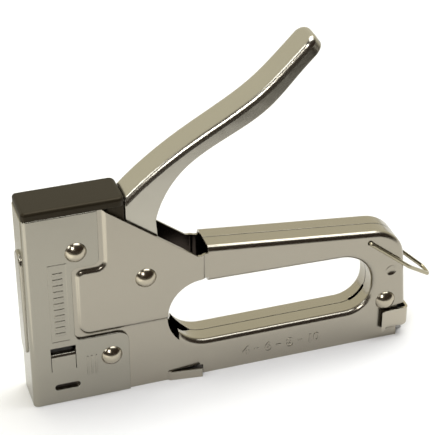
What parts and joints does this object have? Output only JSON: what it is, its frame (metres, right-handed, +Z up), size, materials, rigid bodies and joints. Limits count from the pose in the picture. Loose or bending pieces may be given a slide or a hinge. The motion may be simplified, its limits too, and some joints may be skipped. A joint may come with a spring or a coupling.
{
  "type": "hand staple gun",
  "caption": "Pressed-steel hand staple gun with squeeze lever, finger-hole grip, plastic head cap, slide-out magazine and wire lever lock.",
  "frame": {"origin": "where the staple leaves the tool: the driver blade's mid-plane, on the base, at the middle of its width", "axes": "+X from the nose to the tail, +Y towards the right-hand shell, +Z up from the base to the lever"},
  "size_m": [0.1729, 0.0226, 0.1441],
  "materials": {
    "plated_sheet": "nickel-plated pressed steel, satin",
    "lever_plate": "nickel-plated drawn steel, soft sheen",
    "rivet_plate": "polished nickel plate",
    "cap_plastic": "black moulded plastic, fine texture",
    "hardened_steel": "hardened steel, oiled",
    "turned_steel": "bright turned steel",
    "spring_steel": "drawn spring wire",
    "bumper_rubber": "moulded rubber",
    "magazine_steel": "zinc-plated sheet",
    "pusher_plastic": "glass-filled nylon",
    "bail_wire": "yellow-zinc steel wire"
  },
  "bodies": {
    "frame": {"left_shell": "plated_sheet", "right_shell": "plated_sheet", "front_sleeve": "plated_sheet", "top_cap": "cap_plastic", "pivot_rivet": "rivet_plate", "upper_rivet": "rivet_plate", "lower_rivet": "rivet_plate", "rear_rivet": "rivet_plate", "pivot_bush": "turned_steel", "spacer_bushes": "turned_steel", "main_spring": "spring_steel", "spring_seat": "turned_steel", "bumper_pad": "bumper_rubber", "magazine_channel": "magazine_steel"},
    "lever": {"lever": "lever_plate", "lift_arms": "hardened_steel", "return_spring": "spring_steel"},
    "hammer": {"hammer": "hardened_steel", "lift_pin": "hardened_steel", "driver_blade": "hardened_steel"},
    "magazine": {"core_rail": "magazine_steel", "end_block": "pusher_plastic", "guide_rod": "turned_steel", "pusher_spring": "spring_steel", "end_cap": "plated_sheet"},
    "pusher": {"pusher": "pusher_plastic"},
    "bail": {"lock_bail": "bail_wire"}
  },
  "joints": [
    {"name": "lever_pivot", "type": "hinge", "parent": "frame", "child": "lever", "pos_m": [0.0457, 0, 0.0527], "axis": [0, 1, 0], "range_deg": [0, 46], "stiffness_Nm_per_rad": 3.4, "springref_deg": -31.51, "deforming": ["return_spring"]},
    {"name": "hammer_slide", "type": "slide", "parent": "frame", "child": "hammer", "axis": [0, 0, 1], "range_m": [0, 0.0172], "stiffness_N_per_m": 100, "springref_m": -0.015, "deforming": ["main_spring"]},
    {"name": "magazine_slide", "type": "slide", "parent": "frame", "child": "magazine", "axis": [1, 0, 0], "range_m": [0, 0.1]},
    {"name": "pusher_slide", "type": "slide", "parent": "magazine", "child": "pusher", "axis": [1, 0, 0], "range_m": [0, 0.07], "stiffness_N_per_m": 30, "springref_m": -0.06, "deforming": ["pusher_spring"]},
    {"name": "bail_hinge", "type": "hinge", "parent": "frame", "child": "bail", "pos_m": [0.1401, 0, 0.0487], "axis": [0, -1, 0], "range_deg": [0, 129]}
  ],
  "couplings": [
    {"joint": "hammer_slide", "follows": "lever_pivot", "m_per_rad": 0.02136}
  ]
}
